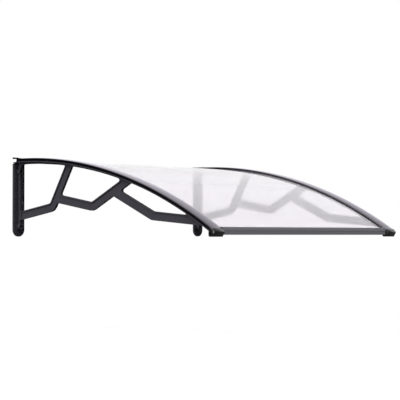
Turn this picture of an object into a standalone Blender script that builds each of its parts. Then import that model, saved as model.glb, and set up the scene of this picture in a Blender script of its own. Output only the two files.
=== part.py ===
"""Door canopy: an arched polycarbonate sheet on two moulded wall brackets.

X runs along the wall, the canopy reaches out from the wall towards -Y and Z is up.
The origin is under the middle, level with the feet of the wall plates and the front corner caps.
Side outlines are written as (depth, height), where depth is the distance out from the wall.
"""
import bpy
import bmesh
from math import asin, atan, atan2, cos, pi, radians, sin, sqrt, tan
from mathutils import Vector

# Overall sizes
WIDTH = 1.000
DEPTH = 0.918
GAP = 0.0003

# Arched roof sheet
SHEET_CREST_HEIGHT = 0.262
SHEET_CREST_DEPTH = 0.060
SHEET_FRONT_HEIGHT = 0.02076
SHEET_THICKNESS = 0.003
SHEET_REAR_DEPTH = 0.014
ARC_STEP = radians(0.95)

# Side trims, swept along the sides of the sheet
TRIM_WIDTH = 0.050
TRIM_WALL = 0.0025
TRIM_CROWN_RISE = 0.0093
TRIM_SHOULDER_RISE = 0.0075
TRIM_INNER_WALL_RISE = 0.0019
TRIM_REAR_DEPTH = 0.022
TRIM_RIB_WIDTH = 0.007
CROWN_POINTS = 9
GASKET_WIDTH = 0.003

# Bracket: wall plate
PLATE_THICKNESS = 0.007
PLATE_CHAMFER_WIDTH = 0.020
PLATE_CHAMFER_HEIGHT = 0.0104
BOSS_DIAMETER = 0.0215
BOSS_DEPTH = 0.0194
BOSS_LOW_HEIGHT = 0.0345
BOSS_HIGH_SETBACK = 0.038
WALL_HOLE_DIAMETER = 0.0085
WALL_SINK_DIAMETER = 0.012
WALL_SINK_DEPTH = 0.003

# Bracket: web of the truss and its top flange
WEB_THICKNESS = 0.010
RIB_DEPTH = 0.0172
FLANGE_THICKNESS = 0.0024
CHORD_HEIGHT = 0.0059
ARM_WIDTH = 0.029
ARM_RIM_WIDTH = 0.0045
ARM_PANEL_THICKNESS = 0.0026
ARM_1_SLOPE = radians(10)
STRUT_1_SLOPE = radians(60.2)
ARM_2_SLOPE = radians(-9.9)
ARM_5_SLOPE = radians(-5)
GUSSET_RADIUS = 0.018
ELBOW_RADIUS = 0.032
BEND_RADIUS = 0.010
WINDOW_RADIUS = 0.006
CORNER_RADIUS = 0.003
TOE_SETBACK = 0.003

# Knees of the truss: share of the depth, share of the sheet's crest height
KNEE_1_SHARES = (0.1916, 0.3824)
KNEE_2_SHARES = (0.3998, 0.3813)
KNEE_3_SHARES = (0.5042, 0.5710)
KNEE_4_SHARES = (0.6960, 0.2565)

# Front bar
BAR_SETBACK = 0.012
BAR_THICKNESS = 0.013
BAR_LOW_HEIGHT = 0.0062
BAR_LIP = 0.006
BAR_WALL = 0.0015
BAR_STEP = 0.0008
BAR_STEP_RISE = 0.0127

# Front corner caps
CAP_LENGTH = 0.0183
CAP_NOSE_HEIGHT = 0.0155
CAP_TAIL = 0.0065
CAP_HEEL = 0.0033
CAP_UNDERCUT = 0.009
CAP_TONGUE_LENGTH = 0.015
CAP_TONGUE_WIDTH = 0.028
CAP_PLUG_LENGTH = 0.018
CAP_EDGE_RADIUS = 0.001

# Rear rail, wall seal and rear caps
RAIL_WALL = 0.0015
SEAL_THICKNESS = 0.0045
SEAL_NOSE = 0.002
SEAL_CREST = 0.004
REAR_CAP_THICKNESS = 0.002
REAR_LIP_THICKNESS = 0.0058
REAR_LIP_NOSE = 0.0046
REAR_LIP_FALL = 0.0036

# Screws that clamp the sheet between trims and brackets
SCREWS_PER_SIDE = 4
SCREW_OFFSET = 0.014
SCREW_DIAMETER = 0.004
SCREW_HOLE_DIAMETER = 0.0048
SCREW_HEAD_DIAMETER = 0.009
SCREW_HEAD_HEIGHT = 0.0026
SCREW_HEAD_CHAMFER = 0.001
SCREW_TIP_CHAMFER = 0.0012
SCREW_REACH = 0.0038
SCREW_FIRST_DEPTH = 0.110
SCREW_LAST_SETBACK = 0.118

# Fineness of round shapes
ROUND_STEP = radians(11.25)
FILLET_STEP = radians(22)
NEARLY_STRAIGHT = radians(88)
SCREW_STEPS = 20
SMOOTH_ANGLE = radians(30)

# Values worked out from the sizes above
CAP_BACK_DEPTH = DEPTH - CAP_LENGTH
SHEET_REACH = CAP_BACK_DEPTH - SHEET_CREST_DEPTH
SHEET_DROP = SHEET_CREST_HEIGHT - SHEET_FRONT_HEIGHT
SHEET_RADIUS = (SHEET_REACH ** 2 + SHEET_DROP ** 2) / (2 * SHEET_DROP)
ARCH_CENTRE_HEIGHT = SHEET_CREST_HEIGHT - SHEET_RADIUS
SHEET_UNDERSIDE = SHEET_RADIUS - SHEET_THICKNESS
FLANGE_TOP = SHEET_UNDERSIDE - GAP
FLANGE_UNDERSIDE = FLANGE_TOP - FLANGE_THICKNESS
CHORD_UNDERSIDE = FLANGE_UNDERSIDE - CHORD_HEIGHT
TRIM_TOP = SHEET_RADIUS + TRIM_CROWN_RISE
BRACKET_X = (WIDTH - TRIM_WIDTH) / 2
INNER_X = BRACKET_X - TRIM_WIDTH / 2
WALL_Y = DEPTH / 2
PLATE_HEIGHT = SHEET_CREST_HEIGHT
BOSS_HEIGHTS = (BOSS_LOW_HEIGHT, PLATE_HEIGHT - BOSS_HIGH_SETBACK)
BAR_FACE_DEPTH = DEPTH - BAR_SETBACK
BAR_BACK_DEPTH = BAR_FACE_DEPTH - BAR_THICKNESS

# Turn a flat outline drawn in local XY so that local X is depth, Y is height and Z runs to -X
SIDE_TURN = (radians(90), 0, radians(-90))
FRONT_TURN = (radians(90), 0, 0)


def material(name, colour, roughness, metallic=0.0):
    """Return the Principled material of that name, made on first use."""
    found = bpy.data.materials.get(name)
    if found:
        return found
    made = bpy.data.materials.new(name)
    made.use_nodes = True
    shader = made.node_tree.nodes["Principled BSDF"]
    shader.inputs["Base Color"].default_value = (*colour, 1.0)
    shader.inputs["Roughness"].default_value = roughness
    shader.inputs["Metallic"].default_value = metallic
    return made


def angle_at(radius, depth):
    """Angle from the vertical at which an arch of this radius reaches this depth."""
    return asin((depth - SHEET_CREST_DEPTH) / radius)


def arch_point(radius, angle):
    """(depth, height) of a point on an arch around the common centre."""
    return (SHEET_CREST_DEPTH + radius * sin(angle), ARCH_CENTRE_HEIGHT + radius * cos(angle))


def arch_run(radius, start, end):
    """Points along an arch from one angle to another, at the common step."""
    count = max(1, round(abs(end - start) / ARC_STEP))
    return [arch_point(radius, start + (end - start) * i / count) for i in range(count + 1)]


def arch_band(low_radius, high_radius, start, end):
    """Closed outline of a band between two arches, with radial ends."""
    return arch_run(low_radius, start, end) + arch_run(high_radius, end, start)


def arch_height(radius, depth):
    """Height of an arch above Z = 0 at a depth."""
    return arch_point(radius, angle_at(radius, depth))[1]


def rounded(corners):
    """Replace each corner (depth, height, radius) by its fillet arc; radius 0 stays sharp."""
    loop = []
    for i, (x, y, radius) in enumerate(corners):
        here = Vector((x, y))
        back = (Vector(corners[i - 1][:2]) - here).normalized()
        ahead = (Vector(corners[(i + 1) % len(corners)][:2]) - here).normalized()
        half = back.angle(ahead) / 2
        if radius == 0 or half > NEARLY_STRAIGHT:
            loop.append((x, y))
            continue
        centre = here + (back + ahead).normalized() * radius / sin(half)
        first = here + back * radius / tan(half) - centre
        last = here + ahead * radius / tan(half) - centre
        sweep = first.angle_signed(last)
        steps = max(2, round(abs(sweep) / FILLET_STEP))
        start = atan2(first.y, first.x)
        for k in range(steps + 1):
            turn = start - sweep * k / steps
            loop.append((centre.x + radius * cos(turn), centre.y + radius * sin(turn)))
    return loop


def sharp(points):
    """Give plain points a zero corner radius, for use with rounded()."""
    return [(x, y, 0) for x, y in points]


class Edge:
    """Straight edge of an arm: a line through a point, at a slope, shifted to one side."""

    def __init__(self, point, slope, shift):
        self.slope = tan(slope)
        self.base = point[1] - self.slope * point[0] + shift / cos(slope)

    def height(self, depth):
        return self.base + self.slope * depth

    def meet(self, other):
        depth = (other.base - self.base) / (self.slope - other.slope)
        return (depth, self.height(depth))

    def meet_arch(self, radius):
        """Where the edge runs into the underside of the arch, by the quadratic of both."""
        a = 1 + self.slope ** 2
        b = self.slope * (self.base - ARCH_CENTRE_HEIGHT) - SHEET_CREST_DEPTH
        c = SHEET_CREST_DEPTH ** 2 + (self.base - ARCH_CENTRE_HEIGHT) ** 2 - radius ** 2
        depth = (-b + sqrt(b * b - a * c)) / a
        return (depth, self.height(depth))


def slope_between(start, end):
    return atan((end[1] - start[1]) / (end[0] - start[0]))


def knee(shares):
    """(depth, height) of a knee of the truss."""
    return (DEPTH * shares[0], SHEET_CREST_HEIGHT * shares[1])


def add_object(name, data, collection, surface, location=(0, 0, 0), rotation=(0, 0, 0)):
    """Place a mesh or curve; the location's Y is measured from the wall plane."""
    body = bpy.data.objects.new(name, data)
    body.location = (location[0], location[1] + WALL_Y, location[2])
    body.rotation_euler = rotation
    collection.objects.link(body)
    if surface:
        data.materials.clear()
        data.materials.append(surface)
        if data.polygons:
            data.shade_smooth()
            data.set_sharp_from_angle(angle=SMOOTH_ANGLE)
    return body


def outline_mesh(name, loops, thickness):
    """Flat outline with holes, given thickness both ways from its plane, as a welded mesh."""
    curve = bpy.data.curves.new(name, "CURVE")
    curve.dimensions = "2D"
    curve.fill_mode = "BOTH"
    curve.extrude = thickness / 2
    for loop in loops:
        spline = curve.splines.new("POLY")
        spline.points.add(len(loop) - 1)
        for point, (x, y) in zip(spline.points, loop):
            point.co = (x, y, 0, 1)
        spline.use_cyclic_u = True
    return welded(name, curve)


def swept_mesh(name, section, path):
    """Closed section (towards -X, outwards) carried along a (depth, height) path, ends filled."""
    profile = bpy.data.curves.new(name + "_section", "CURVE")
    profile.dimensions = "2D"
    ring = profile.splines.new("POLY")
    ring.points.add(len(section) - 1)
    for point, (x, y) in zip(ring.points, section):
        point.co = (x, y, 0, 1)
    ring.use_cyclic_u = True
    guide = add_object(name + "_section", profile, GUIDES, None)
    curve = bpy.data.curves.new(name, "CURVE")
    curve.dimensions = "3D"
    curve.bevel_mode = "OBJECT"
    curve.bevel_object = guide
    curve.use_fill_caps = True
    line = curve.splines.new("POLY")
    line.points.add(len(path) - 1)
    for point, (depth, height) in zip(line.points, path):
        point.co = (0, -depth, height, 1)
    mesh = welded(name, curve)
    bpy.data.objects.remove(guide)
    return mesh


def welded(name, curve):
    """Evaluate a curve, weld its loose caps and return the mesh with its faces pointing out."""
    source = bpy.data.objects.new(name + "_curve", curve)
    GUIDES.objects.link(source)
    bpy.context.view_layer.update()
    evaluated = source.evaluated_get(bpy.context.evaluated_depsgraph_get())
    mesh = bpy.data.meshes.new_from_object(evaluated)
    mesh.name = name
    bpy.data.objects.remove(source)
    shape = bmesh.new()
    shape.from_mesh(mesh)
    bmesh.ops.remove_doubles(shape, verts=shape.verts, dist=0.00001)
    bmesh.ops.dissolve_degenerate(shape, edges=shape.edges, dist=0.00001)
    bmesh.ops.recalc_face_normals(shape, faces=shape.faces)
    shape.to_mesh(mesh)
    shape.free()
    return mesh


def cylinder_mesh(name, diameter, length, top_diameter=None):
    """Cylinder or cone on local Z, from Z = 0 up."""
    shape = bmesh.new()
    bmesh.ops.create_cone(
        shape, cap_ends=True, segments=round(2 * pi / ROUND_STEP), radius1=diameter / 2,
        radius2=(top_diameter or diameter) / 2, depth=length)
    bmesh.ops.translate(shape, verts=shape.verts, vec=(0, 0, length / 2))
    mesh = bpy.data.meshes.new(name)
    shape.to_mesh(mesh)
    shape.free()
    return mesh


def box_mesh(name, size):
    """Box centred on its origin."""
    shape = bmesh.new()
    bmesh.ops.create_cube(shape, size=1)
    bmesh.ops.scale(shape, verts=shape.verts, vec=size)
    mesh = bpy.data.meshes.new(name)
    shape.to_mesh(mesh)
    shape.free()
    return mesh


def boolean(body, tool, operation):
    """Add an exact Boolean; the tool becomes a hidden wire guide."""
    tool.hide_render = True
    tool.display_type = "WIRE"
    step = body.modifiers.new(operation.title(), "BOOLEAN")
    step.operation = operation
    step.solver = "EXACT"
    step.object = tool


def bevel(body, width, segments=1, limit=40):
    step = body.modifiers.new("Edges", "BEVEL")
    step.width = width
    step.segments = segments
    step.limit_method = "ANGLE"
    step.angle_limit = radians(limit)
    step.harden_normals = False


def side_name(side):
    return "left" if side < 0 else "right"


def screw_angles():
    """Angles along the arch of the clamping screws, evenly spaced."""
    first = angle_at(SHEET_RADIUS, SCREW_FIRST_DEPTH)
    last = angle_at(SHEET_RADIUS, DEPTH - SCREW_LAST_SETBACK)
    return [first + (last - first) * i / (SCREWS_PER_SIDE - 1) for i in range(SCREWS_PER_SIDE)]


def front_angle():
    """Angle of the radial joint between the trims and the front caps."""
    return angle_at(FLANGE_UNDERSIDE, CAP_BACK_DEPTH)


def radial_place(side, radius, angle):
    """Place on a side trim's screw line, on an arch radius at an angle."""
    depth, height = arch_point(radius, angle)
    return (side * (BRACKET_X - SCREW_OFFSET), -depth, height)


def screw_hole(name, side, angle, low_radius, high_radius):
    """Radial cutter for one clamping screw."""
    mesh = cylinder_mesh(name, SCREW_HOLE_DIAMETER, high_radius - low_radius)
    return add_object(name, mesh, GUIDES, None, radial_place(side, low_radius, angle), (angle, 0, 0))


def roof_sheet():
    """Polycarbonate sheet: one arched band across both trims, drilled for the screws."""
    start = angle_at(SHEET_RADIUS, SHEET_REAR_DEPTH)
    end = front_angle() - 2 * GAP / SHEET_RADIUS
    length = WIDTH - 2 * (TRIM_WALL + GAP)
    mesh = outline_mesh("roof_sheet", [arch_band(SHEET_UNDERSIDE, SHEET_RADIUS, start, end)], length)
    body = add_object("roof_sheet", mesh, CANOPY, material("polycarbonate", (0.86, 0.86, 0.88), 0.3),
                      rotation=SIDE_TURN)
    for side in (-1, 1):
        for i, angle in enumerate(screw_angles()):
            hole = screw_hole(f"sheet_hole_{side_name(side)}_{i + 1}", side, angle,
                              SHEET_UNDERSIDE - SHEET_THICKNESS, SHEET_RADIUS + SHEET_THICKNESS)
            boolean(body, hole, "DIFFERENCE")


def crown_run(half_width, edge_rise, middle_rise):
    """Shallow crowned line across a trim, from the outer to the inner side."""
    points = []
    for i in range(CROWN_POINTS):
        across = -1 + 2 * i / (CROWN_POINTS - 1)
        rise = edge_rise + (middle_rise - edge_rise) * (1 - across ** 2)
        points.append((across * half_width, rise))
    return points


def trim_section(side):
    """Section of a side trim: (across, rise above the sheet), outer side at negative across."""
    half = TRIM_WIDTH / 2
    wall = TRIM_WALL
    foot = -SHEET_THICKNESS
    ceiling = crown_run(half - wall, TRIM_SHOULDER_RISE - wall, TRIM_CROWN_RISE - wall)
    ceiling.reverse()
    rib = (SCREW_OFFSET - TRIM_RIB_WIDTH / 2, SCREW_OFFSET + TRIM_RIB_WIDTH / 2)
    points = [(-half, foot)]
    points += crown_run(half, TRIM_SHOULDER_RISE, TRIM_CROWN_RISE)
    points += [(half, TRIM_INNER_WALL_RISE), (half - wall, TRIM_INNER_WALL_RISE)]
    points += [p for p in ceiling if p[0] > rib[1]]
    points += [(rib[1], TRIM_SHOULDER_RISE - wall), (rib[1], GAP), (rib[0], GAP),
               (rib[0], TRIM_SHOULDER_RISE - wall)]
    points += [p for p in ceiling if p[0] < rib[0]]
    points += [(-half + wall, foot)]
    return [(side * across, rise) for across, rise in points]


def side_trim(side):
    """Crowned cover profile over one side of the sheet, with blind pilot holes for the screws."""
    name = "side_trim_" + side_name(side)
    start = angle_at(SHEET_RADIUS, TRIM_REAR_DEPTH)
    path = arch_run(SHEET_RADIUS, start, front_angle() - GAP / SHEET_RADIUS)
    mesh = swept_mesh(name, trim_section(side), path)
    body = add_object(name, mesh, CANOPY, material("trim_gloss", (0.02, 0.02, 0.022), 0.2),
                      (side * BRACKET_X, 0, 0))
    for i, angle in enumerate(screw_angles()):
        pilot = screw_hole(f"{name}_pilot_{i + 1}", side, angle,
                           SHEET_RADIUS - SHEET_THICKNESS, SHEET_RADIUS + SCREW_REACH + GAP)
        boolean(body, pilot, "DIFFERENCE")


def trim_gasket(side):
    """Soft strip that closes the inner wall of a trim on to the sheet."""
    name = "trim_gasket_" + side_name(side)
    start = angle_at(SHEET_RADIUS, TRIM_REAR_DEPTH)
    band = arch_band(SHEET_RADIUS + GAP, SHEET_RADIUS + TRIM_INNER_WALL_RISE - GAP,
                     start, front_angle() - GAP / SHEET_RADIUS)
    mesh = outline_mesh(name, [band], GASKET_WIDTH)
    add_object(name, mesh, CANOPY, material("gasket_rubber", (0.015, 0.015, 0.016), 0.7),
               (side * (INNER_X + GASKET_WIDTH / 2), 0, 0), SIDE_TURN)


def plate_mesh(name):
    """Wall plate: round foot, chamfered head."""
    half = TRIM_WIDTH / 2
    steps = round(pi / ROUND_STEP)
    turns = [pi + pi * i / steps for i in range(steps + 1)]
    foot = [(half * cos(turn), half + half * sin(turn)) for turn in turns]
    head = [(half, PLATE_HEIGHT - PLATE_CHAMFER_HEIGHT), (half - PLATE_CHAMFER_WIDTH, PLATE_HEIGHT),
            (PLATE_CHAMFER_WIDTH - half, PLATE_HEIGHT), (-half, PLATE_HEIGHT - PLATE_CHAMFER_HEIGHT)]
    return outline_mesh(name, [foot + head], PLATE_THICKNESS)


def truss_edges(half):
    """Top and low edges of the five arms and rear and front edge of the strut, by half width."""
    knee_1 = knee(KNEE_1_SHARES)
    knee_2 = knee(KNEE_2_SHARES)
    knee_3 = knee(KNEE_3_SHARES)
    knee_4 = knee(KNEE_4_SHARES)
    slope_3 = slope_between(knee_2, knee_3)
    slope_4 = slope_between(knee_3, knee_4)
    arm_1 = (Edge(knee_1, ARM_1_SLOPE, half), Edge(knee_1, ARM_1_SLOPE, -half))
    strut = (Edge(knee_1, STRUT_1_SLOPE, half), Edge(knee_1, STRUT_1_SLOPE, -half))
    arm_2 = (Edge(knee_2, ARM_2_SLOPE, half), Edge(knee_2, ARM_2_SLOPE, -half))
    arm_3 = (Edge(knee_2, slope_3, half), Edge(knee_2, slope_3, -half))
    arm_4 = (Edge(knee_4, slope_4, half), Edge(knee_4, slope_4, -half))
    arm_5 = (Edge(knee_4, ARM_5_SLOPE, half), Edge(knee_4, ARM_5_SLOPE, -half))
    return arm_1, strut, arm_2, arm_3, arm_4, arm_5


def under_chord(radius, start, end):
    """Run along an arch under the chord between two depths, without the end points."""
    return sharp(arch_run(radius, angle_at(radius, start), angle_at(radius, end))[1:-1])


def web_loops():
    """Outer outline and three windows of the truss web."""
    arm_1, strut, arm_2, arm_3, arm_4, arm_5 = truss_edges(ARM_WIDTH / 2)
    root = PLATE_THICKNESS / 2
    chord = CHORD_UNDERSIDE
    buried = (FLANGE_UNDERSIDE + FLANGE_TOP) / 2
    toe = front_angle() - TOE_SETBACK / chord

    toe_start = arm_5[1].meet_arch(chord)
    outer = [(root, BOSS_LOW_HEIGHT, 0), (RIB_DEPTH, BOSS_LOW_HEIGHT, 0)]
    outer += [(RIB_DEPTH, arm_1[1].height(RIB_DEPTH), CORNER_RADIUS)]
    outer += [(*arm_1[1].meet(strut[1]), ELBOW_RADIUS), (*strut[1].meet(arm_2[1]), CORNER_RADIUS)]
    outer += [(*arm_2[1].meet(arm_3[1]), ELBOW_RADIUS), (*arm_3[1].meet(arm_4[1]), CORNER_RADIUS)]
    outer += [(*arm_4[1].meet(arm_5[1]), ELBOW_RADIUS), (*toe_start, 0)]
    outer += sharp(arch_run(chord, angle_at(chord, toe_start[0]), toe)[1:])
    outer += sharp(arch_run(buried, toe, angle_at(buried, root)))

    strut_head = strut[0].meet_arch(chord)
    window_1 = [(RIB_DEPTH, arm_1[0].height(RIB_DEPTH), CORNER_RADIUS)]
    window_1 += [(*arm_1[0].meet(strut[0]), BEND_RADIUS), (*strut_head, CORNER_RADIUS)]
    window_1 += under_chord(chord, strut_head[0], RIB_DEPTH)
    window_1 += [(RIB_DEPTH, arch_height(chord, RIB_DEPTH), GUSSET_RADIUS)]

    front_head = strut[1].meet_arch(chord)
    arm_3_head = arm_3[0].meet_arch(chord)
    window_2 = [(*strut[1].meet(arm_2[0]), WINDOW_RADIUS), (*arm_2[0].meet(arm_3[0]), BEND_RADIUS)]
    window_2 += [(*arm_3_head, WINDOW_RADIUS)]
    window_2 += under_chord(chord, arm_3_head[0], front_head[0])
    window_2 += [(*front_head, CORNER_RADIUS)]

    notch_head = arm_3[1].meet_arch(chord)
    tip = arm_5[0].meet_arch(chord)
    window_3 = [(*arm_3[1].meet(arm_4[0]), WINDOW_RADIUS), (*arm_4[0].meet(arm_5[0]), ELBOW_RADIUS)]
    window_3 += [(*tip, CORNER_RADIUS)]
    window_3 += under_chord(chord, tip[0], notch_head[0])
    window_3 += [(*notch_head, CORNER_RADIUS)]
    return [rounded(loop) for loop in (outer, window_1, window_2, window_3)]


def panel_loop():
    """Outline of the recessed side panel: the arms without their rims, one rim width off the chord."""
    rim = ARM_RIM_WIDTH
    arm_1, strut, arm_2, arm_3, arm_4, arm_5 = truss_edges(ARM_WIDTH / 2 - rim)
    arch = CHORD_UNDERSIDE - rim
    start = RIB_DEPTH + rim
    bulge = ELBOW_RADIUS - rim
    notch = CORNER_RADIUS + rim
    bend = BEND_RADIUS + rim
    nook = WINDOW_RADIUS + rim
    loop = [(start, arm_1[1].height(start), CORNER_RADIUS), (*arm_1[1].meet(strut[1]), bulge)]
    loop += [(*strut[1].meet(arm_2[1]), notch), (*arm_2[1].meet(arm_3[1]), bulge)]
    loop += [(*arm_3[1].meet(arm_4[1]), notch), (*arm_4[1].meet(arm_5[1]), bulge)]
    heads = [edge.meet_arch(arch) for edge in (arm_5[1], arm_5[0], arm_3[1], arm_3[0], strut[1], strut[0])]
    turns = [[(*arm_5[0].meet(arm_4[0]), ELBOW_RADIUS + rim), (*arm_4[0].meet(arm_3[1]), nook)],
             [(*arm_3[0].meet(arm_2[0]), bend), (*arm_2[0].meet(strut[1]), nook)],
             [(*strut[0].meet(arm_1[0]), bend), (start, arm_1[0].height(start), CORNER_RADIUS)]]
    for front, rear, turn in zip(heads[0::2], heads[1::2], turns):
        loop += [(*front, CORNER_RADIUS)] + under_chord(arch, front[0], rear[0])
        loop += [(*rear, CORNER_RADIUS)] + turn
    return rounded(loop)


def bracket(side):
    """Wall bracket as one moulding: plate, bosses, truss web and top flange."""
    name = "bracket_" + side_name(side)
    centre = (side * BRACKET_X, 0, 0)
    body = add_object(name, outline_mesh(name, web_loops(), WEB_THICKNESS), CANOPY,
                      material("bracket_plastic", (0.055, 0.055, 0.06), 0.42), centre, SIDE_TURN)

    for face in (-1, 1):
        recess = add_object(f"{name}_recess_{side_name(face)}",
                            outline_mesh(name + "_recess", [panel_loop()], WEB_THICKNESS), GUIDES, None,
                            (centre[0] + face * (ARM_PANEL_THICKNESS + WEB_THICKNESS) / 2, 0, 0), SIDE_TURN)
        boolean(body, recess, "DIFFERENCE")

    plate = add_object(name + "_plate", plate_mesh(name + "_plate"), GUIDES, None,
                       (centre[0], -PLATE_THICKNESS / 2, 0), FRONT_TURN)
    boolean(body, plate, "UNION")

    band = arch_band(FLANGE_UNDERSIDE, FLANGE_TOP, angle_at(FLANGE_TOP, PLATE_THICKNESS / 2),
                     front_angle() - 2 * GAP / FLANGE_TOP)
    flange = add_object(name + "_flange", outline_mesh(name + "_flange", [band], TRIM_WIDTH), GUIDES, None,
                        centre, SIDE_TURN)
    boolean(body, flange, "UNION")

    reach = BOSS_DEPTH - PLATE_THICKNESS / 2
    for i, height in enumerate(BOSS_HEIGHTS):
        boss = add_object(f"{name}_boss_{i + 1}", cylinder_mesh("boss", BOSS_DIAMETER, reach), GUIDES,
                          None, (centre[0], -PLATE_THICKNESS / 2, height), FRONT_TURN)
        boolean(body, boss, "UNION")
    for i, height in enumerate(BOSS_HEIGHTS):
        bore = add_object(f"{name}_bore_{i + 1}",
                          cylinder_mesh("bore", WALL_HOLE_DIAMETER, BOSS_DEPTH + 2 * PLATE_THICKNESS),
                          GUIDES, None, (centre[0], PLATE_THICKNESS, height), FRONT_TURN)
        boolean(body, bore, "DIFFERENCE")
        slant = (WALL_SINK_DIAMETER - WALL_HOLE_DIAMETER) / WALL_SINK_DEPTH
        sink = add_object(f"{name}_sink_{i + 1}",
                          cylinder_mesh("sink", WALL_HOLE_DIAMETER, 2 * WALL_SINK_DEPTH,
                                        WALL_HOLE_DIAMETER + 2 * slant * WALL_SINK_DEPTH),
                          GUIDES, None, (centre[0], WALL_SINK_DEPTH - BOSS_DEPTH, height), FRONT_TURN)
        boolean(body, sink, "DIFFERENCE")
    for i, angle in enumerate(screw_angles()):
        hole = screw_hole(f"{name}_screw_hole_{i + 1}", side, angle,
                          FLANGE_UNDERSIDE - FLANGE_THICKNESS, FLANGE_TOP + FLANGE_THICKNESS)
        boolean(body, hole, "DIFFERENCE")


def clamp_screw(side, number, angle):
    """Pan-head screw, turned: shank up through flange and sheet into the trim."""
    name = f"clamp_screw_{side_name(side)}_{number}"
    head = SCREW_HEAD_DIAMETER / 2
    shank = SCREW_DIAMETER / 2
    tip = SHEET_RADIUS + SCREW_REACH - FLANGE_UNDERSIDE
    under = -GAP - SCREW_HEAD_HEIGHT
    profile = [(0, tip), (shank - SCREW_TIP_CHAMFER, tip), (shank, tip - SCREW_TIP_CHAMFER),
               (shank, -GAP), (head, -GAP), (head, under + SCREW_HEAD_CHAMFER),
               (head - SCREW_HEAD_CHAMFER, under), (0, under)]
    mesh = bpy.data.meshes.new(name)
    shape = bmesh.new()
    verts = [shape.verts.new((x, 0, z)) for x, z in profile]
    for first, second in zip(verts, verts[1:]):
        shape.edges.new((first, second))
    shape.to_mesh(mesh)
    shape.free()
    body = add_object(name, mesh, CANOPY, material("screw_steel", (0.5, 0.5, 0.52), 0.35, 1.0),
                      radial_place(side, FLANGE_UNDERSIDE, angle), (angle, 0, 0))
    turn = body.modifiers.new("Turn", "SCREW")
    turn.steps = SCREW_STEPS
    turn.render_steps = SCREW_STEPS
    turn.use_merge_vertices = True
    turn.merge_threshold = 0.00001
    turn.use_smooth_shade = True


def bar_section():
    """Section of the front bar, open at the back: top lip, sheet shelf and foot."""
    wall = BAR_WALL
    low = BAR_LOW_HEIGHT
    face = BAR_FACE_DEPTH
    back = BAR_BACK_DEPTH
    step = low + BAR_STEP_RISE
    end = front_angle() - 2 * GAP / SHEET_RADIUS
    shelf = arch_point(SHEET_UNDERSIDE, end)[1] - GAP
    lip = arch_height(SHEET_RADIUS, back) + GAP
    top = lip + BAR_LIP
    lip_front = arch_height(SHEET_RADIUS, back + wall) + GAP
    inner = face - wall
    return [(back + wall, low), (face, low), (face, step - BAR_STEP), (face + BAR_STEP, step),
            (face + BAR_STEP, top - BAR_STEP), (face, top), (back, top), (back, lip),
            (back + wall, lip_front), (back + wall, top - wall), (inner, top - wall), (inner, shelf),
            (back, shelf), (back, shelf - wall), (inner, shelf - wall), (inner, low + wall),
            (back + wall, low + wall)]


def front_bar():
    """Extruded bar that carries the front edge of the sheet between the corner caps."""
    mesh = outline_mesh("front_bar", [bar_section()], 2 * (INNER_X - GAP))
    add_object("front_bar", mesh, CANOPY, material("bar_aluminium", (0.16, 0.16, 0.17), 0.35, 0.6),
               rotation=SIDE_TURN)


def front_cap(side):
    """Corner cap: closes the trim's front end, plugs into the trim and into the front bar."""
    name = "front_cap_" + side_name(side)
    joint = front_angle()
    crown = TRIM_TOP + GAP
    tail = CAP_BACK_DEPTH - CAP_TAIL
    tail_top = FLANGE_UNDERSIDE - 3 * GAP
    outline = [(tail + CAP_HEEL, 0), (DEPTH - CAP_UNDERCUT, 0), (DEPTH, CAP_NOSE_HEIGHT),
               arch_point(crown, joint), arch_point(tail_top, joint),
               (tail, arch_height(tail_top, tail)), (tail, CAP_HEEL)]
    body = add_object(name, outline_mesh(name, [outline], TRIM_WIDTH), CANOPY,
                      material("cap_plastic", (0.03, 0.03, 0.034), 0.3),
                      (side * BRACKET_X, 0, 0), SIDE_TURN)

    ceiling = SHEET_RADIUS + TRIM_SHOULDER_RISE - TRIM_WALL - GAP
    tongue = arch_band(SHEET_RADIUS + 2 * GAP, ceiling, joint - CAP_TONGUE_LENGTH / SHEET_RADIUS,
                       joint + CAP_HEEL / SHEET_RADIUS)
    outer_wall = WIDTH / 2 - TRIM_WALL - 2 * GAP
    tongue_body = add_object(name + "_tongue", outline_mesh(name + "_tongue", [tongue], CAP_TONGUE_WIDTH),
                             GUIDES, None, (side * (outer_wall - CAP_TONGUE_WIDTH / 2), 0, 0), SIDE_TURN)
    boolean(body, tongue_body, "UNION")

    low = BAR_LOW_HEIGHT + BAR_WALL + GAP
    high = arch_point(SHEET_UNDERSIDE, joint)[1] - BAR_WALL - 4 * GAP
    front = BAR_FACE_DEPTH - BAR_WALL - GAP
    size = (2 * CAP_PLUG_LENGTH, front - CAP_BACK_DEPTH - GAP, high - low)
    plug = add_object(name + "_plug", box_mesh(name + "_plug", size), GUIDES, None,
                      (side * INNER_X, -(front + CAP_BACK_DEPTH + GAP) / 2, (low + high) / 2))
    boolean(body, plug, "UNION")
    bevel(body, CAP_EDGE_RADIUS, 2)

    slot = arch_band(CHORD_UNDERSIDE - 3 * GAP, FLANGE_UNDERSIDE + GAP,
                     angle_at(CHORD_UNDERSIDE, tail) - CAP_HEEL / SHEET_RADIUS, joint - GAP / SHEET_RADIUS)
    slot_body = add_object(name + "_slot", outline_mesh(name + "_slot", [slot], WEB_THICKNESS + 4 * GAP),
                           GUIDES, None, (side * BRACKET_X, 0, 0), SIDE_TURN)
    boolean(body, slot_body, "DIFFERENCE")


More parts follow.
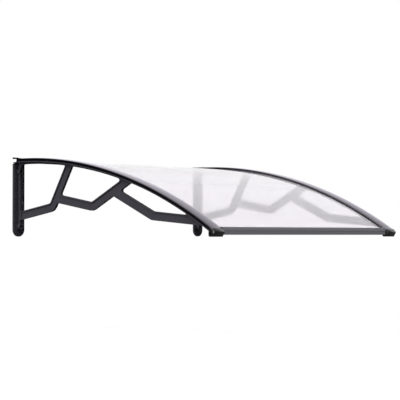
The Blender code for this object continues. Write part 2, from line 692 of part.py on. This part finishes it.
def rear_cap(side):
    """Plate that closes a trim's rear end above the sheet; its lip meets the wall and falls inwards."""
    name = "rear_cap_" + side_name(side)
    half = TRIM_WIDTH / 2
    foot = -SHEET_THICKNESS
    section = [(-half, foot)] + crown_run(half, TRIM_SHOULDER_RISE, TRIM_CROWN_RISE)
    section += [(half, GAP), (-half + TRIM_WALL, GAP), (-half + TRIM_WALL, foot)]
    section = [(side * across, rise) for across, rise in section]
    trim_end = angle_at(SHEET_RADIUS, TRIM_REAR_DEPTH) - GAP / SHEET_RADIUS
    path = [arch_point(SHEET_RADIUS, trim_end - REAR_CAP_THICKNESS / SHEET_RADIUS),
            arch_point(SHEET_RADIUS, trim_end)]
    body = add_object(name, swept_mesh(name, section, path), CANOPY,
                      material("cap_plastic", (0.03, 0.03, 0.034), 0.3), (side * BRACKET_X, 0, 0))
    low = arch_height(SHEET_RADIUS + TRIM_SHOULDER_RISE, TRIM_REAR_DEPTH) - GAP
    reach = TRIM_REAR_DEPTH - REAR_CAP_THICKNESS / 2
    high = low + REAR_LIP_THICKNESS
    outline = [(0, low), (reach, low), (reach, low + REAR_LIP_NOSE), (0, high)]
    mesh = outline_mesh(name + "_lip", [outline], TRIM_WIDTH)
    for vertex in mesh.vertices:
        if side * vertex.co.z > 0 and vertex.co.y > low + REAR_LIP_NOSE / 2:
            vertex.co.y -= REAR_LIP_FALL
    lip = add_object(name + "_lip", mesh, GUIDES, None, (side * BRACKET_X, 0, 0), SIDE_TURN)
    boolean(body, lip, "UNION")


def slot_heights():
    """Low and high side of the rear rail's slot around the edge of the sheet."""
    return (arch_height(SHEET_UNDERSIDE, SHEET_REAR_DEPTH) - GAP,
            arch_height(SHEET_RADIUS, TRIM_REAR_DEPTH) + GAP)


def rear_rail():
    """Hollow rail along the wall between the brackets, with a slot that holds the sheet's edge."""
    wall = RAIL_WALL
    mouth = TRIM_REAR_DEPTH
    slot_low, slot_high = slot_heights()
    low = slot_low - wall
    top = slot_high + wall
    stop = SHEET_REAR_DEPTH - GAP
    outer = [(0, low), (mouth, low), (mouth, slot_low), (stop, slot_low), (stop, slot_high),
             (mouth, slot_high), (mouth, top), (0, top)]
    inner = [(wall, low + wall), (stop - wall, low + wall), (stop - wall, top - wall), (wall, top - wall)]
    mesh = outline_mesh("rear_rail", [outer, inner], 2 * (INNER_X - GAP))
    add_object("rear_rail", mesh, CANOPY, material("bar_aluminium", (0.16, 0.16, 0.17), 0.35, 0.6),
               rotation=SIDE_TURN)


def wall_seal():
    """Soft strip on the rear rail that closes the gap to the wall between the rear caps."""
    low = slot_heights()[1] + RAIL_WALL + GAP
    reach = TRIM_REAR_DEPTH - REAR_CAP_THICKNESS - 2 * GAP
    high = low + SEAL_THICKNESS
    section = [(0, low), (reach, low), (reach, low + SEAL_NOSE), (SEAL_CREST, high), (0, high)]
    mesh = outline_mesh("wall_seal", [section], 2 * (INNER_X - GAP))
    add_object("wall_seal", mesh, CANOPY, material("gasket_rubber", (0.015, 0.015, 0.016), 0.7),
               rotation=SIDE_TURN)


for old in list(bpy.data.objects):
    bpy.data.objects.remove(old)

CANOPY = bpy.data.collections.new("door_canopy")
GUIDES = bpy.data.collections.new("guides")
bpy.context.scene.collection.children.link(CANOPY)
bpy.context.scene.collection.children.link(GUIDES)

roof_sheet()
front_bar()
rear_rail()
wall_seal()
for end in (-1, 1):
    bracket(end)
    side_trim(end)
    trim_gasket(end)
    front_cap(end)
    rear_cap(end)
    for place, slant in enumerate(screw_angles()):
        clamp_screw(end, place + 1, slant)
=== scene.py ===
"""Looks of the polycarbonate door canopy: materials, rounded edges, light and camera.

Every piece is a welded copy of its CAD solid in the CAD's place; the brackets, side trims, front bar and rear
rail also get their edges rounded.
"""
from math import radians

import bmesh
import bpy
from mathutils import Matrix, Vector


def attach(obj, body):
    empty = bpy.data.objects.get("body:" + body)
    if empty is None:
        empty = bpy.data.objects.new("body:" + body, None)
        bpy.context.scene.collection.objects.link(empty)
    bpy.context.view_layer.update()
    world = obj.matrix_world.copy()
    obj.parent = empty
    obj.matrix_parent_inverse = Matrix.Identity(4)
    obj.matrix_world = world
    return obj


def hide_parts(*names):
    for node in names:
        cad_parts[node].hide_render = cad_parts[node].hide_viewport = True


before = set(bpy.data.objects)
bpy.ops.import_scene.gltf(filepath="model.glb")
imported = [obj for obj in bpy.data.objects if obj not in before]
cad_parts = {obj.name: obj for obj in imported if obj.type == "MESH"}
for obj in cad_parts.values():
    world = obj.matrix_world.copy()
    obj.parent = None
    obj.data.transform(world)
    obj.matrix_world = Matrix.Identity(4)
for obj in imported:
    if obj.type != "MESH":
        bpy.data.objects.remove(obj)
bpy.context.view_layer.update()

# Places on the brackets, in metres, by which their edges are chosen
BRACKET_X = 0.475
WALL_Y = 0.459
WEB_HALF_WIDTH = 0.005
PLATE_HALF_WIDTH = 0.025
PLATE_DEPTH = 0.007
RIB_DEPTH = 0.0175
FOOT_HEIGHT = 0.024
NEAR = 0.0002

# Edges that turn more than this are rounded
SHARP_TURN = radians(38)

FLOOR_Z = -0.9
FLOOR_HALF_SIZE = 7.0

# Lights: heading, cosines where each starts and is full, strength
BACKDROP = (0.78, 0.60, 0.16)
BACKDROP_START = 0.50
BACKDROP_FULL = 0.82
AMBIENT = 0.02
LIGHTS = (
    ((0.30, 0.05, 1), 0.72, 0.90, 0.3),
    (BACKDROP, BACKDROP_START, BACKDROP_FULL, 0.90),
    ((-0.90, 0.12, 0.40), 0.74, 0.90, 2.9),
    ((-0.1, -0.55, 0.86), 0.84, 0.94, 2.65),
)
DARK_SECTOR = ((-0.80, 0.60, -0.05), 0.93, 0.966, 0.96)

# Share of the floor that reflections show: the edges that face down are nearly black
FLOOR_IN_GLOSS = 0.1


# Node helpers


class Tree:
    """Short hand for building a node tree."""

    def __init__(self, owner):
        owner.use_nodes = True
        self.tree = owner.node_tree
        self.nodes = owner.node_tree.nodes
        self.nodes.clear()

    def add(self, kind, **settings):
        node = self.nodes.new(kind)
        for key, value in settings.items():
            setattr(node, key, value)
        return node

    def link(self, source, target):
        self.tree.links.new(source, target)

    def math(self, operation, a, b=None, clamp=False):
        node = self.add("ShaderNodeMath", operation=operation, use_clamp=clamp)
        for socket, value in zip(node.inputs, (a, b)):
            if value is None:
                continue
            if isinstance(value, (int, float)):
                socket.default_value = value
            else:
                self.link(value, socket)
        return node.outputs[0]

    def ramp(self, factor, stops):
        node = self.add("ShaderNodeValToRGB")
        for element, (place, colour) in zip(node.color_ramp.elements, stops):
            element.position = place
            element.color = (*colour, 1.0)
        self.link(factor, node.inputs[0])
        return node.outputs[0]

    def spread(self, factor, low, high, start=0.0, end=1.0):
        node = self.add("ShaderNodeMapRange", interpolation_type="SMOOTHSTEP")
        for name, value in (("From Min", start), ("From Max", end), ("To Min", low), ("To Max", high)):
            node.inputs[name].default_value = value
        self.link(factor, node.inputs["Value"])
        return node.outputs["Result"]

    def place(self, scale):
        coordinates = self.add("ShaderNodeTexCoord")
        mapping = self.add("ShaderNodeMapping")
        mapping.inputs["Scale"].default_value = scale
        self.link(coordinates.outputs["Object"], mapping.inputs["Vector"])
        return mapping.outputs["Vector"]

    def noise(self, scale, detail=3.0, roughness=0.55, stretch=(1, 1, 1)):
        node = self.add("ShaderNodeTexNoise")
        node.inputs["Scale"].default_value = scale
        node.inputs["Detail"].default_value = detail
        node.inputs["Roughness"].default_value = roughness
        self.link(self.place(stretch), node.inputs["Vector"])
        return node.outputs["Fac"]

    def bump(self, height, distance, strength=1.0, after=None):
        node = self.add("ShaderNodeBump")
        node.inputs["Distance"].default_value = distance
        node.inputs["Strength"].default_value = strength
        self.link(height, node.inputs["Height"])
        if after is not None:
            self.link(after, node.inputs["Normal"])
        return node.outputs["Normal"]

    def surface(self, shader):
        out = self.add("ShaderNodeOutputMaterial")
        self.link(shader, out.inputs["Surface"])


def principled(tree, colour, roughness, **sockets):
    """Principled shader; colour and roughness are sockets, the rest are plain values."""
    shader = tree.add("ShaderNodeBsdfPrincipled")
    tree.link(colour, shader.inputs["Base Color"])
    tree.link(roughness, shader.inputs["Roughness"])
    for name, value in sockets.items():
        socket = shader.inputs[name.replace("_", " ")]
        if hasattr(value, "links"):
            tree.link(value, socket)
        else:
            socket.default_value = value
    return shader.outputs["BSDF"]


def new_material(name):
    made = bpy.data.materials.new(name)
    return made, Tree(made)


# Materials


def bracket_plastic():
    """Moulded ABS, charcoal: spark-eroded grain, faint flow marks, a little cloudy in gloss."""
    made, t = new_material("bracket_abs_textured")
    grain = t.noise(1800, 2.0, 0.6)
    flow = t.noise(9, 4.0, 0.6, (1, 1, 1.6))
    colour = t.ramp(flow, [(0.3, (0.050, 0.047, 0.058)), (0.7, (0.060, 0.057, 0.070))])
    rough = t.spread(t.noise(55, 4.0, 0.6), 0.46, 0.60, 0.3, 0.7)
    normal = t.bump(grain, 0.00004, 0.35, t.bump(flow, 0.0004, 0.15))
    t.surface(principled(t, colour, rough, Normal=normal, Specular_IOR_Level=0.15))
    return made


def trim_gloss():
    """Extruded glossy black cover: fine draw lines along its run, slight unevenness in the gloss."""
    made, t = new_material("trim_black_gloss")
    lines = t.noise(1, 3.0, 0.6, (2200, 14, 14))
    cloud = t.noise(14, 4.0, 0.55)
    colour = t.ramp(cloud, [(0.3, (0.0022, 0.0021, 0.0024)), (0.75, (0.0042, 0.0040, 0.0045))])
    rough = t.spread(cloud, 0.08, 0.13, 0.3, 0.7)
    normal = t.bump(lines, 0.00002, 0.35, t.bump(cloud, 0.0008, 0.05))
    t.surface(principled(t, colour, rough, Normal=normal, Specular_IOR_Level=0.5, Coat_Weight=0.75,
                         Coat_Roughness=0.05, Coat_Tint=(0.88, 0.78, 1.0, 1.0)))
    return made


def cap_plastic():
    """Moulded black caps: satin, finer grain than the brackets."""
    made, t = new_material("cap_black_satin")
    grain = t.noise(3400, 2.0, 0.6)
    cloud = t.noise(40, 4.0, 0.55)
    colour = t.ramp(cloud, [(0.3, (0.0030, 0.0028, 0.0040)), (0.7, (0.0050, 0.0047, 0.0063))])
    rough = t.spread(cloud, 0.14, 0.20, 0.3, 0.7)
    t.surface(principled(t, colour, rough, Normal=t.bump(grain, 0.00002, 0.3), Specular_IOR_Level=0.85))
    return made


def bar_aluminium():
    """Extruded grey aluminium: die lines along X and a faint brushed sheen."""
    made, t = new_material("bar_anodised_grey")
    lines = t.noise(1, 4.0, 0.65, (5, 1500, 1500))
    cloud = t.noise(6, 3.0, 0.5)
    colour = t.ramp(lines, [(0.25, (0.338, 0.333, 0.376)), (0.75, (0.382, 0.376, 0.425))])
    rough = t.spread(cloud, 0.34, 0.44, 0.3, 0.7)
    normal = t.bump(lines, 0.00004, 0.5)
    t.surface(principled(t, colour, rough, Normal=normal, Metallic=0.15))
    return made


def gasket_rubber():
    """Soft black rubber: dull, with a dusty bloom."""
    made, t = new_material("gasket_epdm")
    grain = t.noise(1900, 3.0, 0.6)
    bloom = t.noise(70, 5.0, 0.6)
    colour = t.ramp(bloom, [(0.35, (0.006, 0.006, 0.007)), (0.8, (0.014, 0.0135, 0.0145))])
    rough = t.spread(bloom, 0.62, 0.85, 0.3, 0.7)
    t.surface(principled(t, colour, rough, Normal=t.bump(grain, 0.00006, 0.6), Specular_IOR_Level=0.2))
    return made


def screw_steel():
    """Zinc-plated steel: bright, with turning marks and cloudy plating."""
    made, t = new_material("screw_zinc_plated")
    marks = t.noise(5200, 3.0, 0.6, (1, 1, 0.2))
    cloud = t.noise(420, 4.0, 0.6)
    colour = t.ramp(cloud, [(0.3, (0.46, 0.46, 0.47)), (0.7, (0.60, 0.60, 0.59))])
    rough = t.spread(cloud, 0.24, 0.40, 0.3, 0.7)
    t.surface(principled(t, colour, rough, Normal=t.bump(marks, 0.00003, 0.6), Metallic=1.0))
    return made


def polycarbonate():
    """Milky clear polycarbonate: a hazy body that blurs what is behind it, glossy on the outside."""
    made, t = new_material("sheet_opal_polycarbonate")
    cloud = t.noise(3.0, 3.0, 0.5)
    ripple = t.noise(1, 2.0, 0.5, (18, 5, 5))
    colour = t.ramp(cloud, [(0.3, (0.952, 0.924, 0.966)), (0.7, (0.966, 0.938, 0.980))])
    rough = t.spread(cloud, 0.048, 0.062, 0.3, 0.7)
    normal = t.bump(ripple, 0.0006, 0.05)
    t.surface(principled(t, colour, rough, Normal=normal, Transmission_Weight=0.66, IOR=1.15))
    return made


MAKERS = {
    "bracket_plastic": bracket_plastic,
    "trim_gloss": trim_gloss,
    "cap_plastic": cap_plastic,
    "bar_aluminium": bar_aluminium,
    "gasket_rubber": gasket_rubber,
    "screw_steel": screw_steel,
    "polycarbonate": polycarbonate,
}
MATERIALS = {slot: make() for slot, make in MAKERS.items()}


# Pieces


def welded_copy(name):
    """The node's shape as one welded bmesh with its flat faces joined."""
    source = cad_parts[name].data
    shape = bmesh.new()
    verts = [shape.verts.new(v.co) for v in source.vertices]
    for face in source.polygons:
        shape.faces.new([verts[i] for i in face.vertices])
    bmesh.ops.remove_doubles(shape, verts=shape.verts, dist=0.000005)
    bmesh.ops.dissolve_degenerate(shape, edges=shape.edges, dist=0.000002)
    bmesh.ops.recalc_face_normals(shape, faces=shape.faces)
    bmesh.ops.dissolve_limit(shape, angle_limit=radians(0.4), verts=shape.verts, edges=shape.edges)
    return shape


def crease(edge):
    """Angle between an edge's two faces, 0 where it has not exactly two."""
    return edge.calc_face_angle(0.0) if len(edge.link_faces) == 2 else 0.0


def round_edges(shape, width, chosen, segments=2):
    edges = [e for e in shape.edges if crease(e) > SHARP_TURN and chosen(e)]
    if edges:
        bmesh.ops.bevel(shape, geom=edges, offset=width, segments=segments, profile=0.5,
                        affect="EDGES", offset_type="OFFSET", clamp_overlap=True)


def finish_piece(name, shape, slot, sharp=34):
    mesh = bpy.data.meshes.new(name + "_looks")
    bmesh.ops.triangulate(shape, faces=[f for f in shape.faces if len(f.verts) > 4])
    shape.to_mesh(mesh)
    shape.free()
    mesh.shade_smooth()
    mesh.set_sharp_from_angle(angle=radians(sharp))
    mesh.materials.append(MATERIALS[slot])
    piece = bpy.data.objects.new(name + "_looks", mesh)
    bpy.context.scene.collection.objects.link(piece)
    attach(piece, "root")
    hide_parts(name)


def bracket(side, name):
    """Web rims, flange and plate: moulded radii on the edges that are touched and seen."""
    shape = welded_copy(name)
    centre = side * BRACKET_X

    def off_centre(vert):
        return abs(vert.co.x - centre)

    def depth(vert):
        return WALL_Y - vert.co.y

    def past_rib(edge, half_width):
        return all(abs(off_centre(v) - half_width) < NEAR and depth(v) > RIB_DEPTH for v in edge.verts)

    def on_plate(edge):
        return all(abs(depth(v) - PLATE_DEPTH) < NEAR for v in edge.verts) and any(
            abs(off_centre(v) - PLATE_HALF_WIDTH) < 0.004 or v.co.z < FOOT_HEIGHT for v in edge.verts)

    round_edges(shape, 0.0009, lambda edge: past_rib(edge, WEB_HALF_WIDTH), 3)
    round_edges(shape, 0.0004, lambda edge: past_rib(edge, PLATE_HALF_WIDTH))
    round_edges(shape, 0.0012, on_plate)
    finish_piece(name, shape, "bracket_plastic")


def along_x(edge):
    return abs(edge.verts[0].co.x - edge.verts[1].co.x)


for side, name in ((-1, "bracket_left"), (1, "bracket_right")):
    bracket(side, name)

for name in ("side_trim_left", "side_trim_right"):
    shape = welded_copy(name)
    round_edges(shape, 0.0003, lambda edge: along_x(edge) < NEAR)
    finish_piece(name, shape, "trim_gloss", 40)

for name in ("front_bar", "rear_rail"):
    shape = welded_copy(name)
    round_edges(shape, 0.0004, lambda edge: along_x(edge) > 0.1)
    finish_piece(name, shape, "bar_aluminium")

for name in ("front_cap_left", "front_cap_right", "rear_cap_left", "rear_cap_right"):
    finish_piece(name, welded_copy(name), "cap_plastic", 30)

for name in ("trim_gasket_left", "trim_gasket_right", "wall_seal"):
    finish_piece(name, welded_copy(name), "gasket_rubber")

finish_piece("roof_sheet", welded_copy("roof_sheet"), "polycarbonate")

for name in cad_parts:
    if name.startswith("clamp_screw"):
        finish_piece(name, welded_copy(name), "screw_steel", 30)


# Floor


def looked_at(t, mirrored):
    """Share of the pale background that a ray sees: all of it from the camera, also through the sheet,
    mirrored in a reflection, and none in the light between the pieces."""
    path = t.add("ShaderNodeLightPath")
    bounces = t.math("ADD", path.outputs["Diffuse Depth"], path.outputs["Glossy Depth"])
    through = t.math("MULTIPLY", path.outputs["Is Transmission Ray"], t.math("LESS_THAN", bounces, 0.5))
    gloss = t.math("SUBTRACT", path.outputs["Is Glossy Ray"], path.outputs["Is Transmission Ray"], clamp=True)
    straight = t.math("MAXIMUM", path.outputs["Is Camera Ray"], through)
    return t.math("MAXIMUM", straight, t.math("MULTIPLY", gloss, mirrored))


def floor():
    """Pale floor below the hanging canopy; it keeps the canopy's soft shadow."""
    mesh = bpy.data.meshes.new("studio_floor")
    corners = ((-1, -1), (1, -1), (1, 1), (-1, 1))
    mesh.from_pydata([(x * FLOOR_HALF_SIZE, y * FLOOR_HALF_SIZE, FLOOR_Z) for x, y in corners], [],
                     [(0, 1, 2, 3)])
    made, t = new_material("studio_floor_pale")
    speckle = t.noise(3.0, 3.0, 0.5)
    pale = t.ramp(speckle, [(0.3, (0.80, 0.80, 0.80)), (0.7, (0.82, 0.82, 0.82))])
    dark = t.ramp(speckle, [(0.3, (0.055, 0.055, 0.055)), (0.7, (0.065, 0.065, 0.065))])
    seen = t.add("ShaderNodeBsdfDiffuse")
    t.link(pale, seen.inputs["Color"])
    glow = t.add("ShaderNodeEmission")
    glow.inputs["Color"].default_value = (1, 1, 1, 1)
    glow.inputs["Strength"].default_value = 0.12
    both = t.add("ShaderNodeAddShader")
    t.link(seen.outputs[0], both.inputs[0])
    t.link(glow.outputs[0], both.inputs[1])
    bounce = t.add("ShaderNodeBsdfDiffuse")
    t.link(dark, bounce.inputs["Color"])
    mix = t.add("ShaderNodeMixShader")
    t.link(looked_at(t, FLOOR_IN_GLOSS), mix.inputs[0])
    t.link(bounce.outputs[0], mix.inputs[1])
    t.link(both.outputs[0], mix.inputs[2])
    t.surface(mix.outputs[0])
    mesh.materials.append(made)
    ground = bpy.data.objects.new("studio_floor", mesh)
    bpy.context.scene.collection.objects.link(ground)


floor()


# Light: a soft studio around the canopy, fixed in the room


def lobe(t, direction, heading, start, full, level):
    """A level around one heading: none beyond cosine start, all of it within cosine full."""
    dot = t.add("ShaderNodeVectorMath", operation="DOT_PRODUCT")
    t.link(direction, dot.inputs[0])
    dot.inputs[1].default_value = Vector(heading).normalized()
    return t.spread(dot.outputs["Value"], 0.0, level, start, full)


def studio():
    world = bpy.data.worlds.new("studio")
    bpy.context.scene.world = world
    t = Tree(world)
    coordinates = t.add("ShaderNodeTexCoord")
    direction = coordinates.outputs["Generated"]
    light = AMBIENT
    for heading, start, full, strength in LIGHTS:
        light = t.math("ADD", lobe(t, direction, heading, start, full, strength), light)
    light = t.math("MULTIPLY", light, t.math("SUBTRACT", 1.0, lobe(t, direction, *DARK_SECTOR)))
    seen = looked_at(t, lobe(t, direction, BACKDROP, BACKDROP_START, BACKDROP_FULL, 1.0))
    level = t.math("ADD", t.math("MULTIPLY", light, t.math("SUBTRACT", 1.0, seen)), seen)
    back = t.add("ShaderNodeBackground")
    back.inputs["Color"].default_value = (1, 1, 1, 1)
    t.link(level, back.inputs["Strength"])
    out = t.add("ShaderNodeOutputWorld")
    t.link(back.outputs[0], out.inputs["Surface"])


studio()


# Camera: level with the feet, in front and to the left

scene = bpy.context.scene
lens = bpy.data.cameras.new("view")
lens.sensor_width = 36.0
lens.lens = 138.573
lens.clip_end = 200.0
camera = bpy.data.objects.new("view", lens)
camera.location = (-4.1083, -3.5205, 0.0056)
camera.rotation_euler = (radians(91.302), 0.0, radians(-49.146))
scene.collection.objects.link(camera)
scene.camera = camera
scene.view_settings.view_transform = "Standard"
